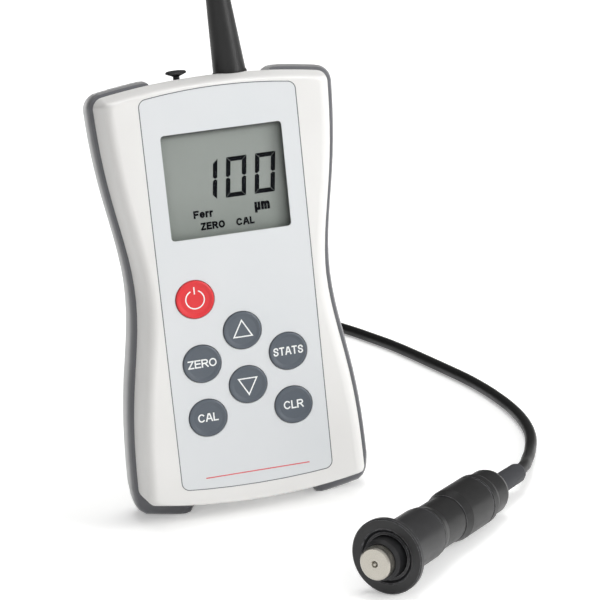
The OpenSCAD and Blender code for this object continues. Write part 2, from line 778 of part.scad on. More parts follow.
// Route of the cable, measured from under the gauge: over its back, round the coil, then to the probe
cable_r = cable_d / 2;
tie_t = 0.6;
coil_at = [18, 113];
coil_r = coil_d / 2;
coil_turns = 4.175;
coil_h = (coil_turns + 1) * cable_d;
upper_route = [
    [4.2, 0, 150.4], [3.9, 0, 157.2], [4.8, 4, 172.2], [7.2, 15, 183.2], [10, 30, 187.2], [12.8, 45, 183.2],
    [14.6, 56, 172.2], [15.2, 60, 157.2], [15.4, 60, 125], [15.4, 60, 95], [15.2, 60.4, 65], [14.8, 62, 36],
    [14.4, 65, 21], [14.4, 71.6, 10.4], [14.2, 79.2, 4.8], [12.8, 87.6, 2.6], [9.2, 95.4, 2.3],
    [4.1, 103.2, 2.3]];
lower_route = [
    [3, 121, 16], [7.4, 128, 15.2], [12.4, 135.8, 12.4], [17.6, 144.1, 8.4], [23.3, 153.2, 4.4],
    [29, 162.2, 2.2], [34.7, 167.9, 1.7], [42.3, 170.5, 1.7], [50.3, 169.6, 1.7], [57.1, 165.2, 1.7],
    [61.3, 158.4, 1.7], [64.3, 150.2, 1.7], [67, 141.6, 1.7], [72.4, 122.7, 1.7], [78, 96.6, 1.7],
    [82.9, 71, 1.7], [85.1, 48.5, 1.7], [85, 29.7, 1.7], [82.6, 13.1, 1.7], [78.2, -0.5, 1.7],
    [73.8, -11.5, 2.8], [70.8, -19.1, 4.1], [66.8, -26.5, 5.2]];
cable_sides = 8;

module at_surface() {
    translate([gauge_at[0], gauge_at[1], 0]) children();
}

module cable_upper() {
    color(black) at_surface() tube(smooth(upper_route, 2), cable_r, cable_sides);
}

module cable_lower() {
    color(black) at_surface() tube(smooth(lower_route, 2), cable_r, cable_sides);
}

module cable_coil() {
    color(black) at_surface() translate([coil_at[0], coil_at[1], tie_t]) rotate_extrude()
        translate([coil_r - cable_r, 0]) square([cable_d, coil_h]);
}

tie_w = 12;
module coil_tie() {
    color(boot_grey) at_surface() translate([coil_at[0], coil_at[1], 0]) rotate([0, 0, 20])
        rotate_extrude(angle = tie_w) translate([coil_r - cable_r, 0]) difference() {
            translate([-tie_t, 0]) square([cable_d + 2 * tie_t, coil_h + 2 * tie_t]);
            translate([0, tie_t]) square([cable_d, coil_h]);
        }
}

front_shell();
rear_shell();
grip_left();
grip_right();
keypad_overlay();
display_window();
key_power();
key_up();
key_down();
key_zero();
key_stats();
key_cal();
key_clear();
lcd_panel();
lcd_frame();
contact_strips();
main_board();
key_domes();
board_chips();
battery_block();
battery_clip();
battery_door();
case_screws();
data_socket();
dust_plug();
cable_boot();
probe_sleeve();
probe_body();
probe_collar();
probe_cap();
probe_boot();
probe_head();
pole_face();
contact_tip();
sensor_coil();
probe_spring();
cable_upper();
cable_coil();
coil_tie();
cable_lower();
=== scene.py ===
import math

import bmesh
import bpy
from mathutils import Matrix, Vector


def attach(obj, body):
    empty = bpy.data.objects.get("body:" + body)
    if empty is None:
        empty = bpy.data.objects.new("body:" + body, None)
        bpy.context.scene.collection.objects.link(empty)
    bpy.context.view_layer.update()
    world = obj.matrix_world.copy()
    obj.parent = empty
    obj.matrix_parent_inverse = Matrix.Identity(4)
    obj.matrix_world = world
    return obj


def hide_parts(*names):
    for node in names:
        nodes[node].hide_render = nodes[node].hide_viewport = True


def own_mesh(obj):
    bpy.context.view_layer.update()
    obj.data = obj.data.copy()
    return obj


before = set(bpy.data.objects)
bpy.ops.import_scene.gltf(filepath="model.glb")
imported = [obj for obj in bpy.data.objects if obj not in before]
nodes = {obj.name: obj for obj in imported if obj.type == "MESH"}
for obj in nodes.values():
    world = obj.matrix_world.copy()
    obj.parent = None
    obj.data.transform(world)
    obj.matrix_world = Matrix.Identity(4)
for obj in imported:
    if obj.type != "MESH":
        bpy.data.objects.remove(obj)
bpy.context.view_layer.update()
scene = bpy.context.scene
print("frame loaded:", len(nodes), "nodes")

# the foot of the gauge's own frame, the middle of the probe's front, mm, and the way back along the probe
gaugeAt = Vector((-18.2, 38.0, 3.2))
probeCentre = Vector((-1.42, -44.03, 9.364))
probeAxis = Vector((0.66807, 0.74197, -0.05629)).normalized()


def gaugePoint(x, y, z):
    return (gaugeAt + Vector((x, y, z))) / 1000


def surfacePoint(x, y, z):
    return Vector((gaugeAt.x + x, gaugeAt.y + y, z)) / 1000


# camera, at the photo's angle
cameraSet = {"aim": (18.326, 0.0, 50.027), "distance": 600.0, "elevation": 14.0, "yaw": 11.0, "roll": -5.744,
             "pixelsPerMm": 3.774, "pictureWidth": 600, "sensor": 36.0, "farthest": 50.0}


def makeCamera(c):
    e, w, r = (math.radians(c[k]) for k in ("elevation", "yaw", "roll"))
    back = Vector((-math.sin(w) * math.cos(e), -math.cos(w) * math.cos(e), math.sin(e)))
    right = Vector((math.cos(w), -math.sin(w), 0))
    up = back.cross(right)
    side = math.cos(r) * right + math.sin(r) * up
    top = math.cos(r) * up - math.sin(r) * right
    data = bpy.data.cameras.new("photoCamera")
    data.sensor_fit = "HORIZONTAL"
    data.sensor_width = c["sensor"]
    data.lens = c["sensor"] * c["pixelsPerMm"] * c["distance"] / c["pictureWidth"]
    data.clip_end = c["farthest"]
    cam = bpy.data.objects.new("photoCamera", data)
    scene.collection.objects.link(cam)
    place = Matrix((side, top, back)).transposed().to_4x4()
    place.translation = gaugePoint(*c["aim"]) + back * c["distance"] / 1000
    cam.matrix_world = place
    scene.camera = cam


makeCamera(cameraSet)
print("camera set")

# probe cable: out of the boot, over the back, coil behind the gauge, then round the right side to the probe
cableSet = {
    "diameter": 3.3, "length": 1013, "coilAt": (18.0, 113.0), "coilRadius": 17.0, "turns": 4.175,
    "startAngle": 215.0, "startHeight": 2.3, "pointsPerTurn": 16, "steps": 5, "roundness": 4,
    "upper": [(4.2, 0, 150.4), (3.9, 0, 157.2), (4.8, 4, 172.2), (7.2, 15, 183.2), (10, 30, 187.2),
              (12.8, 45, 183.2), (14.6, 56, 172.2), (15.2, 60, 157.2), (15.4, 60, 125), (15.4, 60, 95),
              (15.2, 60.4, 65), (14.8, 62, 36), (14.4, 65, 21), (14.4, 71.6, 10.4), (14.2, 79.2, 4.8),
              (12.8, 87.6, 2.6), (9.2, 95.4, 2.3)],
    "lower": [(7.4, 128, 15.2), (12.4, 135.8, 12.4), (17.6, 144.1, 8.4), (23.3, 153.2, 4.4), (29, 162.2, 2.2),
              (34.7, 167.9, 1.7), (42.3, 170.5, 1.7), (50.3, 169.6, 1.7), (57.1, 165.2, 1.7),
              (61.3, 158.4, 1.7), (64.3, 150.2, 1.7), (67, 141.6, 1.7), (72.4, 122.7, 1.7), (78, 96.6, 1.7),
              (82.9, 71, 1.7), (85.1, 48.5, 1.7), (85, 29.7, 1.7), (82.6, 13.1, 1.7), (78.2, -0.5, 1.7),
              (73.8, -11.5, 2.8), (70.8, -19.1, 4.1), (66.8, -26.5, 5.2)],
}


def coilPoints(c):
    count = round(c["turns"] * c["pointsPerTurn"])
    x, y = c["coilAt"]
    found = []
    for i in range(count + 1):
        turn = c["turns"] * i / count
        a = math.radians(c["startAngle"] - 360 * turn)
        found.append((x + c["coilRadius"] * math.cos(a), y + c["coilRadius"] * math.sin(a),
                      c["startHeight"] + c["diameter"] * turn))
    return found


def smoothRoute(points, steps):
    # curve through the points, with the given number of steps between one and the next
    p = [Vector(q) for q in points]
    found = []
    for i in range(len(p) - 1):
        a, b, c, d = p[max(i - 1, 0)], p[i], p[i + 1], p[min(i + 2, len(p) - 1)]
        for k in range(steps):
            u = k / steps
            found.append(b + u / 2 * (c - a + u * (2 * a - 5 * b + 4 * c - d + u * (3 * (b - c) + d - a))))
    return found + [p[-1]]


def makeCable(c):
    route = smoothRoute(c["upper"] + coilPoints(c) + c["lower"], c["steps"])
    curve = bpy.data.curves.new("probeCable", "CURVE")
    curve.dimensions = "3D"
    curve.bevel_depth = 1  # each point's radius sets the thickness
    curve.bevel_resolution = c["roundness"]
    curve.use_fill_caps = True
    spline = curve.splines.new("POLY")
    spline.points.add(len(route) - 1)
    for point, q in zip(spline.points, route):
        point.co = (*surfacePoint(*q), 1)
        point.radius = c["diameter"] / 2000
    cable = bpy.data.objects.new("probeCable", curve)
    scene.collection.objects.link(cable)
    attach(cable, "gauge")
    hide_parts("cable_upper", "cable_coil", "cable_lower")
    return cable


cable = makeCable(cableSet)
print("cable laid")


# short ways to wire shader nodes
def addNode(tree, kind, **values):
    # a value goes to the socket of that name, or else to the node's own setting
    node = tree.nodes.new(kind)
    for key, value in values.items():
        if key in node.inputs:
            node.inputs[key].default_value = value
        else:
            setattr(node, key, value)
    return node


def joined(tree, operation, a, b, clamp=False):
    node = addNode(tree, "ShaderNodeMath", operation=operation, use_clamp=clamp)
    tree.links.new(a, node.inputs[0])
    tree.links.new(b, node.inputs[1])
    return node.outputs[0]


def vectorNode(tree, operation, a, b=None):
    # a is a socket, b a constant
    node = addNode(tree, "ShaderNodeVectorMath", operation=operation)
    tree.links.new(a, node.inputs[0])
    if b is not None:
        node.inputs[1].default_value = b
    return node


def ranged(tree, factor, low, high, fromLow=0.3, fromHigh=0.7):
    span = addNode(tree, "ShaderNodeMapRange")
    for k, v in zip((1, 2, 3, 4), (fromLow, fromHigh, low, high)):
        span.inputs[k].default_value = v
    tree.links.new(factor, span.inputs[0])
    return span.outputs[0]


def ownPlace(tree):
    return tree.nodes.new("ShaderNodeTexCoord").outputs["Object"]


def noiseOver(tree, scale, **values):
    noise = addNode(tree, "ShaderNodeTexNoise", **values)
    tree.links.new(ownPlace(tree), noise.inputs["Vector"])
    tree.links.new(scale, noise.inputs["Scale"])
    return noise.outputs["Fac"]


def splitAxes(tree, socket):
    split = tree.nodes.new("ShaderNodeSeparateXYZ")
    tree.links.new(socket, split.inputs[0])
    return split.outputs


# shader groups shared by the finishes
def newGroup(name, inputs, outputs):
    tree = bpy.data.node_groups.new(name, "ShaderNodeTree")
    for label, value in inputs.items():
        tree.interface.new_socket(label, in_out="INPUT", socket_type="NodeSocketFloat").default_value = value
    for label in outputs:
        tree.interface.new_socket(label, in_out="OUTPUT", socket_type="NodeSocketFloat")
    return tree, tree.nodes.new("NodeGroupInput"), tree.nodes.new("NodeGroupOutput")


def makeMouldGrain():
    tree, given, out = newGroup("mouldGrain", {"Grain Scale": 2500, "Blotch Scale": 60}, ["Height", "Blotch"])
    for scale, output, detail in (("Grain Scale", "Height", 3), ("Blotch Scale", "Blotch", 2)):
        noise = noiseOver(tree, given.outputs[scale], Detail=detail, Roughness=0.55)
        tree.links.new(noise, out.inputs[output])
    return tree


# a rubbed edge, which on the probe is a painted highlight along its rims, is where a rounded normal turns from
# the true one: none at the first cosine, full at the second
edgeWearAndHighlightSet = {"noneAt": 0.995, "fullAt": 0.86, "brokenFrom": 0.35, "brokenTo": 0.65, "least": 0.35, "samples": 6}


def makeEdgeWearAndHighlight(s):
    tree, given, out = newGroup("edgeWearAndHighlight", {"Radius": 0.0004, "Amount": 1.0, "Noise Scale": 900}, ["Mask"])
    noise = noiseOver(tree, given.outputs["Noise Scale"], Detail=4)
    bevel = addNode(tree, "ShaderNodeBevel", samples=s["samples"])
    tree.links.new(given.outputs["Radius"], bevel.inputs["Radius"])
    trueNormal = tree.nodes.new("ShaderNodeNewGeometry").outputs["Normal"]
    cosine = vectorNode(tree, "DOT_PRODUCT", bevel.outputs["Normal"])
    tree.links.new(trueNormal, cosine.inputs[1])
    edge = ranged(tree, cosine.outputs["Value"], 0, 1, s["noneAt"], s["fullAt"])
    broken = ranged(tree, noise, s["least"], 1, s["brokenFrom"], s["brokenTo"])
    both = joined(tree, "MULTIPLY", edge, broken)
    tree.links.new(joined(tree, "MULTIPLY", both, given.outputs["Amount"], clamp=True), out.inputs["Mask"])
    return tree


# pale colour on what faces up: a trace of dusting at small amounts, and a painted highlight on upward faces at
# large amounts, as on the grips
dustAndTopLightSet = {"colour": "#b9b7b2", "from": 0.2}


def makeDustAndTopLight(s):
    tree, given, out = newGroup("dustAndTopLight", {"Scale": 400, "Amount": 0.1}, ["Mask"])
    noise = noiseOver(tree, given.outputs["Scale"], Detail=5, Roughness=0.6)
    normal = tree.nodes.new("ShaderNodeNewGeometry").outputs["Normal"]
    facing = ranged(tree, splitAxes(tree, normal)["Z"], 0, 1, s["from"], 1)
    both = joined(tree, "MULTIPLY", facing, noise)
    tree.links.new(joined(tree, "MULTIPLY", both, given.outputs["Amount"], clamp=True), out.inputs["Mask"])
    return tree


mouldGrain = makeMouldGrain()
edgeWearAndHighlight = makeEdgeWearAndHighlight(edgeWearAndHighlightSet)
dustAndTopLight = makeDustAndTopLight(dustAndTopLightSet)


def placeGroup(tree, group, **values):
    node = tree.nodes.new("ShaderNodeGroup")
    node.node_tree = group
    for key, value in values.items():
        node.inputs[key.replace("_", " ")].default_value = value
    return node.outputs


def linear(hexColour):
    parts = [int(hexColour[i:i + 2], 16) / 255 for i in (1, 3, 5)]
    return (*[v / 12.92 if v <= 0.04045 else ((v + 0.055) / 1.055) ** 2.4 for v in parts], 1)


def mixColours(tree, a, b, factor):
    # a and b are hex colours or sockets
    mix = addNode(tree, "ShaderNodeMix", data_type="RGBA")
    tree.links.new(factor, mix.inputs["Factor"])
    for value, socket in ((a, mix.inputs[6]), (b, mix.inputs[7])):
        if isinstance(value, bpy.types.NodeSocket):
            tree.links.new(value, socket)
        else:
            socket.default_value = linear(value)
    return mix.outputs[2]


def newMaterial(name):
    mat = bpy.data.materials.new(name)
    mat.use_nodes = True
    return mat, mat.node_tree, mat.node_tree.nodes["Principled BSDF"]


def addRelief(tree, shader, height, strength, depth):
    relief = addNode(tree, "ShaderNodeBump", Strength=strength, Distance=depth)
    tree.links.new(height, relief.inputs["Height"])
    tree.links.new(relief.outputs["Normal"], shader.inputs["Normal"])


def mouldedFinish(name, colour, shade, rough=(0.4, 0.5), grain=2500, blotch=60, bump=0.1, depth=0.00003,
                  wearAndHighlight=None, wearAndHighlightColour=None, wearAndHighlightRadius=0.0004, dustAndTopLightAmount=0.0, metallic=0.0, specular=0.5,
                  sheen=0.0, sheenRough=0.3):
    mat, tree, shader = newMaterial(name)
    surface = placeGroup(tree, mouldGrain, Grain_Scale=grain, Blotch_Scale=blotch)
    tone = mixColours(tree, colour, shade, ranged(tree, surface["Blotch"], 0, 1))
    # lighter edges: worn edges, and on the probe a painted highlight
    if wearAndHighlight:
        wornAndLitEdge = placeGroup(tree, edgeWearAndHighlight, Amount=wearAndHighlight, Radius=wearAndHighlightRadius)
        tone = mixColours(tree, tone, wearAndHighlightColour, wornAndLitEdge["Mask"])
    # pale upward faces: a trace of dusting, and on the grips a painted highlight
    if dustAndTopLightAmount:
        dustAndTopLightMask = placeGroup(tree, dustAndTopLight, Amount=dustAndTopLightAmount)
        tone = mixColours(tree, tone, dustAndTopLightSet["colour"], dustAndTopLightMask["Mask"])
    tree.links.new(tone, shader.inputs["Base Color"])
    tree.links.new(ranged(tree, surface["Blotch"], *rough), shader.inputs["Roughness"])
    addRelief(tree, shader, surface["Height"], bump, depth)
    shader.inputs["Metallic"].default_value = metallic
    shader.inputs["Specular IOR Level"].default_value = specular
    shader.inputs["Sheen Weight"].default_value = sheen
    shader.inputs["Sheen Roughness"].default_value = sheenRough
    return mat


keyLook = dict(rough=(0.36, 0.44), grain=4200, bump=0.1, blotch=120)
# on the probe the lighter colour on rounded edges is a painted highlight along its rims, not wear
probeLook = dict(grain=3000, bump=0.3, blotch=150, wearAndHighlight=0.9, wearAndHighlightColour="#858588", wearAndHighlightRadius=0.0003, dustAndTopLightAmount=0.02)
printLook = dict(rough=(0.4, 0.5), grain=3000, bump=0.05, blotch=200)
finishes = {
    "shellWhite": dict(colour="#e5e4e2", shade="#e1e0de", rough=(0.38, 0.46), grain=3200, bump=0.12, blotch=45),
    # on the grips the pale colour on upward faces is a painted highlight, not dusting
    "gripRubber": dict(colour="#5f6064", shade="#595a5e", rough=(0.38, 0.46), grain=2600, bump=0.25, blotch=70,
                       dustAndTopLightAmount=0.4, sheen=1.0),
    "keyGrey": dict(colour="#565d65", shade="#525962", **keyLook),
    "keyRed": dict(colour="#dd2f35", shade="#d62a31", **keyLook),
    "overlayFilm": dict(colour="#d9dbdd", shade="#d6d9db", rough=(0.34, 0.4), grain=5200, bump=0.08, blotch=40,
                        depth=0.00002),
    "blackMoulded": dict(colour="#161618", shade="#111113", rough=(0.42, 0.55), grain=2600, bump=0.2, blotch=90,
                         dustAndTopLightAmount=0.03, specular=0.35),
    "bootRubber": dict(colour="#0c0c0d", shade="#09090a", rough=(0.34, 0.44), grain=2200, bump=0.25, blotch=80,
                       dustAndTopLightAmount=0.02, specular=0.45),
    "probeBlack": dict(colour="#0b0b0c", shade="#070708", rough=(0.32, 0.4), specular=0.38, **probeLook),
    # the sleeve and its flange face wear a lighter copy of the probe's black, painted light for the brighter
    # light the flange face catches
    "sleeveLitBlack": dict(colour="#1b1b1d", shade="#161618", rough=(0.3, 0.38), specular=0.46, **probeLook),
    "bootGrey": dict(colour="#303135", shade="#2b2c30", rough=(0.5, 0.6), grain=2600, bump=0.2, blotch=100,
                     dustAndTopLightAmount=0.04, specular=0.3),
    "cableJacket": dict(colour="#060606", shade="#040404", rough=(0.36, 0.5), grain=1500, bump=0.12, blotch=70,
                        dustAndTopLightAmount=0.02, specular=0.25),
    "screwSteel": dict(colour="#b9b9b6", shade="#a3a3a1", rough=(0.25, 0.4), grain=4000, bump=0.1, blotch=200,
                       metallic=1.0, wearAndHighlight=0.3, wearAndHighlightColour="#e5e5e2"),
    "batteryCase": dict(colour="#3f454e", shade="#394049", rough=(0.28, 0.36), grain=1500, bump=0.05, blotch=50,
                        metallic=0.4),
    "stripGrey": dict(colour="#8c8c86", shade="#7d7d78", rough=(0.6, 0.7), grain=1800, bump=0.2, blotch=200),
    "strapBlack": dict(colour="#202022", shade="#2b2b2d", rough=(0.7, 0.85), grain=1400, bump=0.6, blotch=300),
    "printWhite": dict(colour="#f2f3f2", shade="#e9ebea", **printLook),
    "printRed": dict(colour="#d9686a", shade="#d35f62", **printLook),
    # the dark strip in the overlay's gap is painted shade of that gap
    "jointShade": dict(colour="#6c7073", shade="#626669", **printLook),
    "segmentDark": dict(colour="#05060b", shade="#07080e", rough=(0.5, 0.6), grain=3000, bump=0.03, blotch=150,
                        specular=0.03),
}
made = {name: mouldedFinish(name, **look) for name, look in finishes.items()}


# display cell: grey-green, with painted shadow of the recess walls along its upper and right edges and painted
# shade a little towards the lower one, mm
displaySet = {"cell": "#919692", "cellShadedLow": "#848a85", "speckle": "#898f89", "edge": "#5c605d", "low": 73.1,
              "lowReach": 12.0, "high": 99.9, "half": 15.65, "shadowTop": 1.4, "shadowRight": 2.2, "shadowPower": 2,
              "grain": 3500, "blotch": 90, "speckled": 0.25, "rough": (0.3, 0.4), "specular": 0.2}


def makeDisplayCell(d):
    mat, tree, shader = newMaterial("displayCell")
    axes = splitAxes(tree, ownPlace(tree))
    right, _, top = gaugePoint(d["half"], 0, d["high"])
    low = gaugePoint(0, 0, d["low"]).z
    # painted shade, a little darker towards the lower edge
    rise = ranged(tree, axes["Z"], 0, 1, low, low + d["lowReach"] / 1000)
    tone = mixColours(tree, d["cellShadedLow"], d["cell"], rise)
    surface = placeGroup(tree, mouldGrain, Grain_Scale=d["grain"], Blotch_Scale=d["blotch"])
    tone = mixColours(tree, tone, d["speckle"], ranged(tree, surface["Height"], 0, d["speckled"]))
    # painted shadow of the recess walls, strongest at the upper and right edges
    for axis, end, reach in (("Z", top, d["shadowTop"]), ("X", right, d["shadowRight"])):
        near = ranged(tree, axes[axis], 0, 1, end - reach / 1000, end)
        soft = addNode(tree, "ShaderNodeMath", operation="POWER")
        soft.inputs[1].default_value = d["shadowPower"]
        tree.links.new(near, soft.inputs[0])
        tone = mixColours(tree, tone, d["edge"], soft.outputs[0])
    tree.links.new(tone, shader.inputs["Base Color"])
    tree.links.new(ranged(tree, surface["Blotch"], *d["rough"]), shader.inputs["Roughness"])
    shader.inputs["Specular IOR Level"].default_value = d["specular"]
    return mat


# clear pane: mostly see-through, with a faint haze that varies over it
paneSet = {"tint": "#dfe4e2", "grain": 900, "blotch": 35, "rough": (0.05, 0.12), "haze": (0.002, 0.005)}


def makeClearPane(p):
    mat, tree, shader = newMaterial("clearPane")
    surface = placeGroup(tree, mouldGrain, Grain_Scale=p["grain"], Blotch_Scale=p["blotch"])
    shader.inputs["Base Color"].default_value = linear(p["tint"])
    tree.links.new(ranged(tree, surface["Blotch"], *p["rough"]), shader.inputs["Roughness"])
    tree.links.new(ranged(tree, surface["Height"], *p["haze"]), shader.inputs["Alpha"])
    return mat


# nickel pole face: fine turning rings round the probe's axis
nickelSet = {"bright": "#c2beb5", "dull": "#a9a59c", "ringsPerMetre": 9000, "rough": (0.22, 0.36), "bump": 0.06,
             "depth": 0.00002}


def makeNickel(n):
    mat, tree, shader = newMaterial("nickelTurned")
    offset = vectorNode(tree, "SUBTRACT", ownPlace(tree), probeCentre / 1000).outputs["Vector"]
    across = vectorNode(tree, "CROSS_PRODUCT", offset, probeAxis).outputs["Vector"]
    radius = vectorNode(tree, "LENGTH", across).outputs["Value"]
    along = vectorNode(tree, "DOT_PRODUCT", offset, probeAxis).outputs["Value"]
    noise = addNode(tree, "ShaderNodeTexNoise", noise_dimensions="1D", Scale=n["ringsPerMetre"], Detail=2)
    tree.links.new(joined(tree, "ADD", radius, along), noise.inputs["W"])
    rings = noise.outputs["Fac"]
    tree.links.new(mixColours(tree, n["bright"], n["dull"], rings), shader.inputs["Base Color"])
    tree.links.new(ranged(tree, rings, *n["rough"]), shader.inputs["Roughness"])
    addRelief(tree, shader, rings, n["bump"], n["depth"])
    shader.inputs["Metallic"].default_value = 1
    return mat


# lacquered board with copper runs under the lacquer
boardSet = {"lacquer": "#1d6a3e", "run": "#2f8650", "runScale": 260, "runEdge": (0.03, 0.07), "grain": 1800,
            "blotch": 80, "rough": (0.25, 0.35)}


def makeBoardGreen(b):
    mat, tree, shader = newMaterial("boardGreen")
    runs = addNode(tree, "ShaderNodeTexVoronoi", feature="DISTANCE_TO_EDGE", distance="MANHATTAN",
                   Scale=b["runScale"])
    tree.links.new(ownPlace(tree), runs.inputs["Vector"])
    onRun = ranged(tree, runs.outputs["Distance"], 1, 0, *b["runEdge"])
    tree.links.new(mixColours(tree, b["lacquer"], b["run"], onRun), shader.inputs["Base Color"])
    surface = placeGroup(tree, mouldGrain, Grain_Scale=b["grain"], Blotch_Scale=b["blotch"])
    tree.links.new(ranged(tree, surface["Blotch"], *b["rough"]), shader.inputs["Roughness"])
    return mat


# copper wire, wound
copperSet = {"bright": "#b0683a", "dark": "#7e4526", "scale": 1400, "distortion": 0.4, "metallic": 0.8,
             "rough": 0.35}


def makeCopperWinding(c):
    mat, tree, shader = newMaterial("copperWinding")
    wave = addNode(tree, "ShaderNodeTexWave", Scale=c["scale"], Distortion=c["distortion"])
    tree.links.new(ownPlace(tree), wave.inputs["Vector"])
    tree.links.new(mixColours(tree, c["bright"], c["dark"], wave.outputs["Fac"]), shader.inputs["Base Color"])
    shader.inputs["Metallic"].default_value = c["metallic"]
    shader.inputs["Roughness"].default_value = c["rough"]
    return mat


made["displayCell"] = makeDisplayCell(displaySet)
made["clearPane"] = makeClearPane(paneSet)
made["nickelTurned"] = makeNickel(nickelSet)
made["boardGreen"] = makeBoardGreen(boardSet)
made["copperWinding"] = makeCopperWinding(copperSet)
print("finishes made:", len(made))

# which finish goes on which piece
wears = {
    "shellWhite": ["front_shell", "rear_shell", "battery_door"],
    "gripRubber": ["grip_left", "grip_right"],
    "overlayFilm": ["keypad_overlay"],
    "clearPane": ["display_window"],
    "keyRed": ["key_power"],
    "keyGrey": ["key_up", "key_down", "key_zero", "key_stats", "key_cal", "key_clear"],
    "displayCell": ["lcd_panel"],
    "blackMoulded": ["lcd_frame", "board_chips", "battery_clip", "data_socket", "probe_head"],
    "stripGrey": ["contact_strips"],
    "boardGreen": ["main_board"],
    "screwSteel": ["key_domes", "case_screws", "probe_spring"],
    "batteryCase": ["battery_block"],
    "bootRubber": ["cable_boot", "dust_plug"],
    "sleeveLitBlack": ["probe_sleeve"],
    "probeBlack": ["probe_body", "probe_collar", "probe_cap"],
    "bootGrey": ["probe_boot"],
    "nickelTurned": ["pole_face", "contact_tip"],
    "copperWinding": ["sensor_coil"],
    "strapBlack": ["coil_tie"],
    "cableJacket": ["cable_upper", "cable_coil", "cable_lower"],
}


def wear(data, finish):
    data.materials.clear()
    data.materials.append(made[finish])


for finish, names in wears.items():
    for name in names:
        wear(nodes[name].data, finish)
wear(cable.data, "cableJacket")

# the lofted pieces come in facet by facet: weld them and shade them round below a set angle
smoothSet = {"angle": 32, "weld": 0.000002, "weight": 80,
             "pieces": ["front_shell", "rear_shell", "grip_left", "grip_right", "keypad_overlay"]}


def makeRoundShading(s):
    tree = bpy.data.node_groups.new("roundShading", "GeometryNodeTree")
    for way in ("INPUT", "OUTPUT"):
        tree.interface.new_socket("Geometry", in_out=way, socket_type="NodeSocketGeometry")
    given, out = tree.nodes.new("NodeGroupInput"), tree.nodes.new("NodeGroupOutput")
    bare = addNode(tree, "GeometryNodeRemoveAttribute", Name="custom_normal")
    weld = addNode(tree, "GeometryNodeMergeByDistance", Distance=s["weld"])
    faces = addNode(tree, "GeometryNodeSetShadeSmooth", domain="FACE")
    edges = addNode(tree, "GeometryNodeSetShadeSmooth", domain="EDGE")
    bend = tree.nodes.new("GeometryNodeInputMeshEdgeAngle")
    low = addNode(tree, "FunctionNodeCompare", operation="LESS_THAN", B=math.radians(s["angle"]))
    tree.links.new(bend.outputs["Unsigned Angle"], low.inputs["A"])
    tree.links.new(low.outputs[0], edges.inputs["Shade Smooth"])
    chain = (given, bare, weld, faces, edges, out)
    for node, following in zip(chain, chain[1:]):
        tree.links.new(node.outputs[0], following.inputs["Geometry"])
    return tree


roundShading = makeRoundShading(smoothSet)


def addRoundShading(piece):
    piece.modifiers.new("roundShading", "NODES").node_group = roundShading
    weighted = piece.modifiers.new("weightedNormal", "WEIGHTED_NORMAL")
    weighted.keep_sharp = True
    weighted.weight = smoothSet["weight"]


for name in smoothSet["pieces"]:
    addRoundShading(nodes[name])
print("finishes on")


def addPiece(name, mesh, finish, body):
    wear(mesh, finish)
    piece = bpy.data.objects.new(name, mesh)
    scene.collection.objects.link(piece)
    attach(piece, body)
    return piece


# flat prints on the front: outlines in the gauge's width and height, mm, a hair off what carries them
def printPiece(name, groups, y, finish, body, lift=0.012, step=0.003):
    # y is one depth, or a function of the place on the front; each group lies a step above the one before
    depth = y if callable(y) else lambda x, z: y
    mesh = bpy.data.meshes.new(name)
    bm = bmesh.new()
    for k, group in enumerate(groups):
        for outline in group:
            turn = sum(a[0] * b[1] - b[0] * a[1] for a, b in zip(outline, outline[1:] + outline[:1]))
            front = outline if turn > 0 else outline[::-1]
            bm.faces.new([bm.verts.new(gaugePoint(x, depth(x, z) - lift - step * k, z)) for x, z in front])
    bm.to_mesh(mesh)
    bm.free()
    return addPiece(name, mesh, finish, body)


def curveRun(cx, cz, rx, rz, a0, a1, steps):
    turns = [math.radians(a0 + (a1 - a0) * i / steps) for i in range(steps + 1)]
    return [(cx + rx * math.cos(t), cz + rz * math.sin(t)) for t in turns]


def block(x0, x1, z0, z1):
    return [(x0, z0), (x1, z0), (x1, z1), (x0, z1)]


def loopQuads(first, second):
    # quads between two closed outlines
    n = len(first)
    return [[first[i], first[(i + 1) % n], second[(i + 1) % n], second[i]] for i in range(n)]


def mitre(d0, d1, width):
    # from the middle of a line to its edge, at a corner between two directions
    m = Vector((-d0.y, d0.x)) + Vector((-d1.y, d1.x))
    return m * (width / m.length_squared)


def closedLine(points, width):
    n = len(points)
    inner, outer = [], []
    for i in range(n):
        a, b, c = (Vector(points[k % n]) for k in (i - 1, i, i + 1))
        m = mitre((b - a).normalized(), (c - b).normalized(), width)
        inner.append(tuple(b + m))
        outer.append(tuple(b - m))
    return loopQuads(outer, inner)


def line(points, width, meet=0.001):
    # through the points, with ends half a width longer, or closed where the ends meet
    if (Vector(points[0]) - Vector(points[-1])).length < meet:
        return closedLine(points[:-1], width)
    p = [Vector(q) for q in points]
    p[0] = p[0] + (p[0] - p[1]).normalized() * width / 2
    p[-1] = p[-1] + (p[-1] - p[-2]).normalized() * width / 2
    sides = []
    for i, q in enumerate(p):
        d0 = (q - p[i - 1]).normalized() if i else (p[1] - q).normalized()
        d1 = (p[i + 1] - q).normalized() if i + 1 < len(p) else d0
        m = mitre(d0, d1, width)
        sides.append((q + m, q - m))
    return [[tuple(a), tuple(b), tuple(d), tuple(c)] for (a, b), (c, d) in zip(sides, sides[1:])]


def ring(x, z, inner, outer, a0, a1, steps):
    # flat arc as quads, its angles from straight up
    found = []
    for i in range(steps):
        p, q = (math.radians(a0 + (a1 - a0) * k / steps) for k in (i, i + 1))
        corners = ((inner, p), (outer, p), (outer, q), (inner, q))
        found.append([(x + r * math.sin(a), z + r * math.cos(a)) for r, a in corners])
    return found


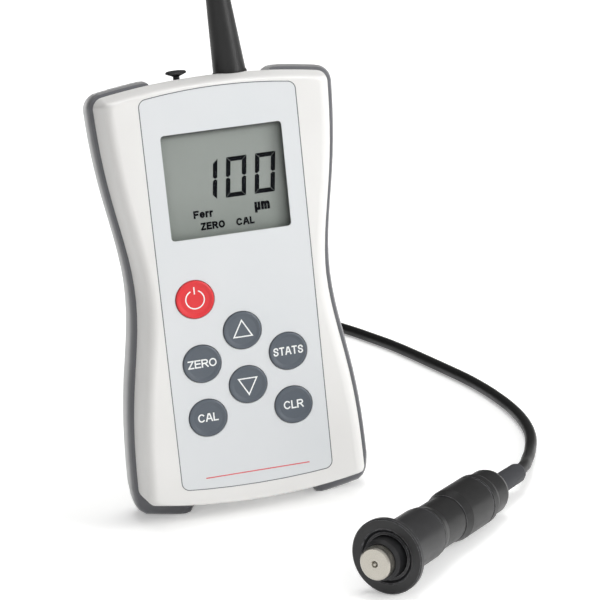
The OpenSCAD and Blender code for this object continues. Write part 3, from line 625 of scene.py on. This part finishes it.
# plain upright letters as lines in a unit box, with each letter's width as a share of its height
letters = {
    "Z": (0.84, [[(0, 1), (1, 1)], [(1, 1), (0, 0)], [(0, 0), (1, 0)]]),
    "E": (0.84, [[(0, 0), (0, 1)], [(0, 1), (1, 1)], [(0, 0.53), (0.92, 0.53)], [(0, 0), (1, 0)]]),
    "R": (0.92, [[(0, 0), (0, 1)],
                 [(0, 1), (0.55, 1), *curveRun(0.58, 0.745, 0.38, 0.255, 85, -85, 8), (0.55, 0.49), (0, 0.49)],
                 [(0.52, 0.49), (1, 0)]]),
    "O": (1.04, [curveRun(0.5, 0.5, 0.5, 0.5, 0, 360, 28)]),
    "S": (0.88, [smoothRoute([(0.95, 0.77), (0.87, 0.92), (0.7, 0.99), (0.48, 1), (0.24, 0.95), (0.09, 0.82),
                              (0.1, 0.68), (0.24, 0.58), (0.5, 0.51), (0.78, 0.44), (0.93, 0.32), (0.94, 0.18),
                              (0.8, 0.05), (0.58, 0), (0.36, 0), (0.15, 0.07), (0.04, 0.24)], 3)]),
    "T": (0.84, [[(0, 1), (1, 1)], [(0.5, 1), (0.5, 0)]]),
    "A": (0.98, [[(0, 0), (0.38, 1), (0.62, 1), (1, 0)], [(0.22, 0.33), (0.78, 0.33)]]),
    "C": (0.98, [curveRun(0.52, 0.5, 0.52, 0.5, 45, 315, 22)]),
    "L": (0.72, [[(0, 1), (0, 0)], [(0, 0), (1, 0)]]),
    "F": (0.78, [[(0, 0), (0, 1)], [(0, 1), (1, 1)], [(0, 0.5), (0.86, 0.5)]]),
    "e": (0.76, [[(0.02, 0.38), (0.98, 0.38)], [(0.98, 0.38), *curveRun(0.5, 0.37, 0.5, 0.37, 20, 318, 16)]]),
    "r": (0.5, [[(0, 0), (0, 0.74)], [(0, 0.5), (0.25, 0.68), (0.6, 0.74), (1, 0.73)]]),
    "u": (0.8, [[(0, -0.32), (0, 0.74)],
                [(0, 0.22), (0.1, 0.07), (0.35, 0), (0.65, 0.02), (0.9, 0.1), (1, 0.24)],
                [(1, 0.74), (1, 0)]]),
    "m": (1.2, [[(0, 0), (0, 0.74)],
                [(0, 0.56), (0.12, 0.7), (0.28, 0.74), (0.43, 0.69), (0.5, 0.54), (0.5, 0)],
                [(0.5, 0.56), (0.62, 0.7), (0.78, 0.74), (0.93, 0.69), (1, 0.54), (1, 0)]]),
}


def printWord(name, word, x, z, width, height, stroke, y, finish, body, gap=0.07):
    shares = [letters[k][0] for k in word]
    unit = (width - gap * height * (len(word) - 1)) / sum(shares)
    left, tall = x - width / 2, height - stroke
    found = []
    for k, share in zip(word, shares):
        across = share * unit - stroke
        for run in letters[k][1]:
            points = [(left + stroke / 2 + u * across, z - tall / 2 + v * tall) for u, v in run]
            found.append(line(points, stroke))
        left += share * unit + gap * height
    return printPiece(name, found, y, finish, body)


# where the keys are and how their fronts are dished, mm
keySet = {"front": -12.65, "column": 11.4, "row": 40.2, "pitch": 14.6, "power": 57.4, "dish": 0.25, "floor": 3.7,
          "slope": 0.75}


def keyFront(cx, cz):
    # depth of a dished front round its middle
    def depth(x, z):
        out = (math.hypot(x - cx, z - cz) - keySet["floor"]) / keySet["slope"]
        return keySet["front"] - keySet["dish"] * min(max(out, 0), 1)

    return depth


# key legends: word, side of the middle, rows down, width and height
legendSet = {
    "stroke": 0.37, "rise": 0.1,
    "words": {"zero": ("ZERO", -1, 0, 7.6, 2.2), "stats": ("STATS", 1, 0, 8.0, 2.2),
              "cal": ("CAL", -1, 1, 5.4, 2.25), "clear": ("CLR", 1, 1, 5.3, 2.25)},
}
arrowSet = {"half": 2.42, "apex": 2.7, "base": -1.66, "width": 0.34}
powerSet = {"inner": 2.25, "outer": 2.57, "gap": 24, "steps": 48, "barLow": 1.4, "barHigh": 3.35,
            "barHalf": 0.16}


def printLegends(s):
    for key, (word, side, rowsDown, width, height) in s["words"].items():
        x = side * keySet["column"]
        z = keySet["row"] - rowsDown * keySet["pitch"] + s["rise"]
        printWord(key + "Legend", word, x, z, width, height, s["stroke"], keyFront(x, z), "printWhite",
                  "key_" + key)


def printArrows(a):
    for key, way in (("up", 1), ("down", -1)):
        z = keySet["row"] + way * keySet["pitch"] / 2
        base, apex = z + way * a["base"], z + way * a["apex"]
        outline = closedLine([(-a["half"], base), (a["half"], base), (0, apex)], a["width"])
        printPiece(key + "Arrow", [outline], keySet["front"], "printWhite", "key_" + key)


def printPower(p):
    x, z = -keySet["column"], keySet["power"]
    arc = ring(x, z, p["inner"], p["outer"], p["gap"], 360 - p["gap"], p["steps"])
    bar = block(x - p["barHalf"], x + p["barHalf"], z + p["barLow"], z + p["barHigh"])
    printPiece("powerMark", [arc, [bar]], keySet["front"], "printWhite", "key_power")


printLegends(legendSet)
printArrows(arrowSet)
printPower(powerSet)
print("key legends printed")

# joint round the overlay: a dark strip in the narrow gap between the overlay and the housing, painted shade of
# that gap
jointSet = {"halfWidth": 20.05, "corner": 2.0, "low": 6.0, "lowRadius": 200.0, "high": 111.4, "highRadius": 134.0,
            "inner": 0.0, "outer": 0.27, "y": -12.45, "cornerSteps": 8, "highSteps": 14, "lowSteps": 28}
# overlay print: thin stripe near the lower end
stripeSet = {"x0": -13.7, "x1": 14.1, "z": 9.3, "half": 0.16, "y": -12.5}


def overlayOutline(j, grow):
    half, low, high = j["halfWidth"] - j["corner"], j["low"] + j["lowRadius"], j["high"] - j["highRadius"]
    lowReach, highReach = j["lowRadius"] - j["corner"], j["highRadius"] - j["corner"]
    lowTurn, highTurn = (math.degrees(math.asin(half / reach)) for reach in (lowReach, highReach))
    lowZ = low - lowReach * math.cos(math.radians(lowTurn))
    highZ = high + highReach * math.cos(math.radians(highTurn))
    r, lowR, highR = (j[k] + grow for k in ("corner", "lowRadius", "highRadius"))
    right = (curveRun(half, lowZ, r, r, lowTurn - 90, 0, j["cornerSteps"])
             + curveRun(half, highZ, r, r, 0, 90 - highTurn, j["cornerSteps"])
             + curveRun(0, high, highR, highR, 90 - highTurn, 90, j["highSteps"])[1:-1])
    left = [(-u, v) for u, v in right[::-1]]
    foot = curveRun(0, low, lowR, lowR, -90 - lowTurn, -90 + lowTurn, j["lowSteps"])[1:-1]
    return right + left + foot


def paintJointShade(j):
    seam = loopQuads(overlayOutline(j, j["inner"]), overlayOutline(j, j["outer"]))
    # painted shade laid in the gap
    printPiece("overlayJoint", [seam], j["y"], "jointShade", "gauge")


def printStripe(s):
    stripe = block(s["x0"], s["x1"], s["z"] - s["half"], s["z"] + s["half"])
    printPiece("lowerStripe", [[stripe]], s["y"], "printRed", "gauge")


paintJointShade(jointSet)
printStripe(stripeSet)
print("overlay printed")

# display reading: three slanted seven-segment digits, and words by place, width, height and stroke
readingSet = {
    "y": -10.16, "height": 10.4, "width": 5.3, "stroke": 1.16, "gap": 0.05, "z": 87.35, "slant": 0.115,
    "tipInner": 0.4, "tipMiddle": 0.5, "tipOuter": 0.25,
    "cells": [(-4.53, "bc"), (3.03, "abcdef"), (10.59, "abcdef")],
    "words": {"unit": ("um", 8.98, 79.2, 4.0, 2.7, 0.68), "mode": ("Ferr", -6.48, 78.8, 5.1, 2.05, 0.5),
              "zeroSet": ("ZERO", -4.3, 75.55, 6.3, 1.95, 0.48),
              "calSet": ("CAL", 4.18, 75.5, 4.8, 1.95, 0.48)},
}


def digit(x, r, lit):
    # bars with square outer corners, cut there and pointed at mid height, mirrored from the upper left
    w, h, t, g = r["width"] / 2, r["height"] / 2, r["stroke"], r["gap"]
    flat = [(-w + g, h), (w - g, h), (w - t - g, h - t), (-w + t + g, h - t)]
    side = [(-w, h - g), (-w + t, h - t - g), (-w + t, r["tipInner"] * t + g), (-w + r["tipMiddle"] * t, g),
            (-w, r["tipOuter"] * t + g)]
    bars = {"a": (flat, 1, 1), "d": (flat, 1, -1), "f": (side, 1, 1), "b": (side, -1, 1), "e": (side, 1, -1),
            "c": (side, -1, -1)}
    found = []
    for k in lit:
        points, u, v = bars[k]
        found.append([(x + u * a + v * b * r["slant"], r["z"] + v * b) for a, b in points])
    return found


def printReading(r):
    digits = [digit(x, r, lit) for x, lit in r["cells"]]
    printPiece("readingDigits", digits, r["y"], "segmentDark", "gauge")
    for name, (word, x, z, width, height, stroke) in r["words"].items():
        printWord(name + "Word", word, x, z, width, height, stroke, r["y"], "segmentDark", "gauge")


printReading(readingSet)
print("display reading drawn")


def makeSpring():
    spring = addPiece("headSpring", nodes["probe_spring"].data.copy(), "screwSteel", "gauge")
    addRoundShading(spring)
    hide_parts("probe_spring")
    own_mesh(spring)


makeSpring()
print("spring set")

# dished ring in the probe's front recess: radius and way back along the axis, mm
dishSet = {"profile": [(6.72, 0.08), (5.9, 0.72), (5.85, 0.5), (5.28, 0.42), (5.28, 1.76), (5.74, 1.76)],
           "steps": 64, "sharpAngle": 30}


def makeDish(d):
    side = probeAxis.cross(Vector((0, 0, 1))).normalized()
    rise = probeAxis.cross(side)
    n, count = len(d["profile"]), d["steps"]
    points, faces = [], []
    for i in range(count):
        t = 2 * math.pi * i / count
        out = math.cos(t) * side + math.sin(t) * rise
        points += [(probeCentre + probeAxis * along + out * radius) / 1000 for radius, along in d["profile"]]
        here, there = i * n, (i + 1) % count * n
        faces += [[here + k, there + k, there + (k + 1) % n, here + (k + 1) % n] for k in range(n)]
    mesh = bpy.data.meshes.new("probeDish")
    mesh.from_pydata(points, [], faces)
    mesh.update()
    bm = bmesh.new()
    bm.from_mesh(mesh)
    bmesh.ops.recalc_face_normals(bm, faces=bm.faces)
    bm.to_mesh(mesh)
    bm.free()
    mesh.shade_smooth()
    mesh.set_sharp_from_angle(angle=math.radians(d["sharpAngle"]))
    # the dish wears the sleeve's lighter black, painted light
    addPiece("probeDish", mesh, "sleeveLitBlack", "gauge")


makeDish(dishSet)
print("probe dish added")

# floor and light: the paper's lift grows from near to far, m, and the world is brighter towards one side
stageSet = {"floor": "#f6f6f5", "size": 24.0, "drop": 0.00005, "rough": 0.9, "specular": 0.1,
            "paperLift": 0.32, "farLift": 0.68, "liftFrom": 0.22, "liftTo": 1.3,
            "worldFront": 0.7, "worldBack": 0.12, "worldFrom": (0.55, -0.83, 0.1), "worldBlend": 0.5}
white = (1, 1, 1, 1)


def seenDirectly(tree):
    # 1 for what the camera, metal and glass show, 0 for the light that falls on things
    path = tree.nodes.new("ShaderNodeLightPath")
    total = path.outputs["Is Camera Ray"]
    for kind in ("Is Glossy Ray", "Is Transmission Ray"):
        total = joined(tree, "ADD", total, path.outputs[kind], clamp=True)
    return total


def makeFloor(s):
    mesh = bpy.data.meshes.new("studioFloor")
    h = s["size"] / 2
    mesh.from_pydata([(x, y, 0) for x, y in block(-h, h, -h, h)], [], [(0, 1, 2, 3)])
    mat, tree, shader = newMaterial("studioPaper")
    shader.inputs["Base Color"].default_value = linear(s["floor"])
    shader.inputs["Roughness"].default_value = s["rough"]
    shader.inputs["Specular IOR Level"].default_value = s["specular"]
    lift = addNode(tree, "ShaderNodeEmission", Color=white)
    away = vectorNode(tree, "LENGTH", ownPlace(tree)).outputs["Value"]
    pale = ranged(tree, away, s["paperLift"], s["farLift"], s["liftFrom"], s["liftTo"])
    tree.links.new(joined(tree, "MULTIPLY", pale, seenDirectly(tree)), lift.inputs["Strength"])
    both = tree.nodes.new("ShaderNodeAddShader")
    tree.links.new(shader.outputs[0], both.inputs[0])
    tree.links.new(lift.outputs[0], both.inputs[1])
    tree.links.new(both.outputs[0], tree.nodes["Material Output"].inputs["Surface"])
    mesh.materials.append(mat)
    floor = bpy.data.objects.new("studioFloor", mesh)
    floor.location.z = -s["drop"]
    scene.collection.objects.link(floor)


def makeWorld(s):
    world = bpy.data.worlds.new("studioWorld")
    world.use_nodes = True
    tree = world.node_tree
    back = tree.nodes["Background"]
    back.inputs["Color"].default_value = white
    direction = tree.nodes.new("ShaderNodeTexCoord").outputs["Generated"]
    toward = vectorNode(tree, "DOT_PRODUCT", direction, s["worldFrom"]).outputs["Value"]
    soft = ranged(tree, toward, s["worldBack"], s["worldFront"], -s["worldBlend"], s["worldBlend"])
    tree.links.new(soft, back.inputs["Strength"])
    scene.world = world


# lamps, in m, turned to one place on the gauge, in its own mm
lampAim = (10, 0, 50)
lampSet = {
    "keyLamp": {"at": (1.0, -0.7, 0.55), "size": 0.55, "watts": 10.4},
    "fillLamp": {"at": (-0.75, -0.85, 0.55), "size": 0.7, "watts": 0.8},
    "topLamp": {"at": (0.1, 0.3, 1.25), "size": 0.7, "watts": 7.0},
}


def makeLamps(lamps):
    for name, s in lamps.items():
        data = bpy.data.lights.new(name, "AREA")
        data.size = s["size"]
        data.energy = s["watts"]
        lamp = bpy.data.objects.new(name, data)
        scene.collection.objects.link(lamp)
        lamp.location = s["at"]
        lamp.rotation_mode = "QUATERNION"
        lamp.rotation_quaternion = (gaugePoint(*lampAim) - Vector(s["at"])).to_track_quat("-Z", "Y")


makeFloor(stageSet)
makeWorld(stageSet)
makeLamps(lampSet)
scene.view_settings.view_transform = "Standard"
print("floor and light set")
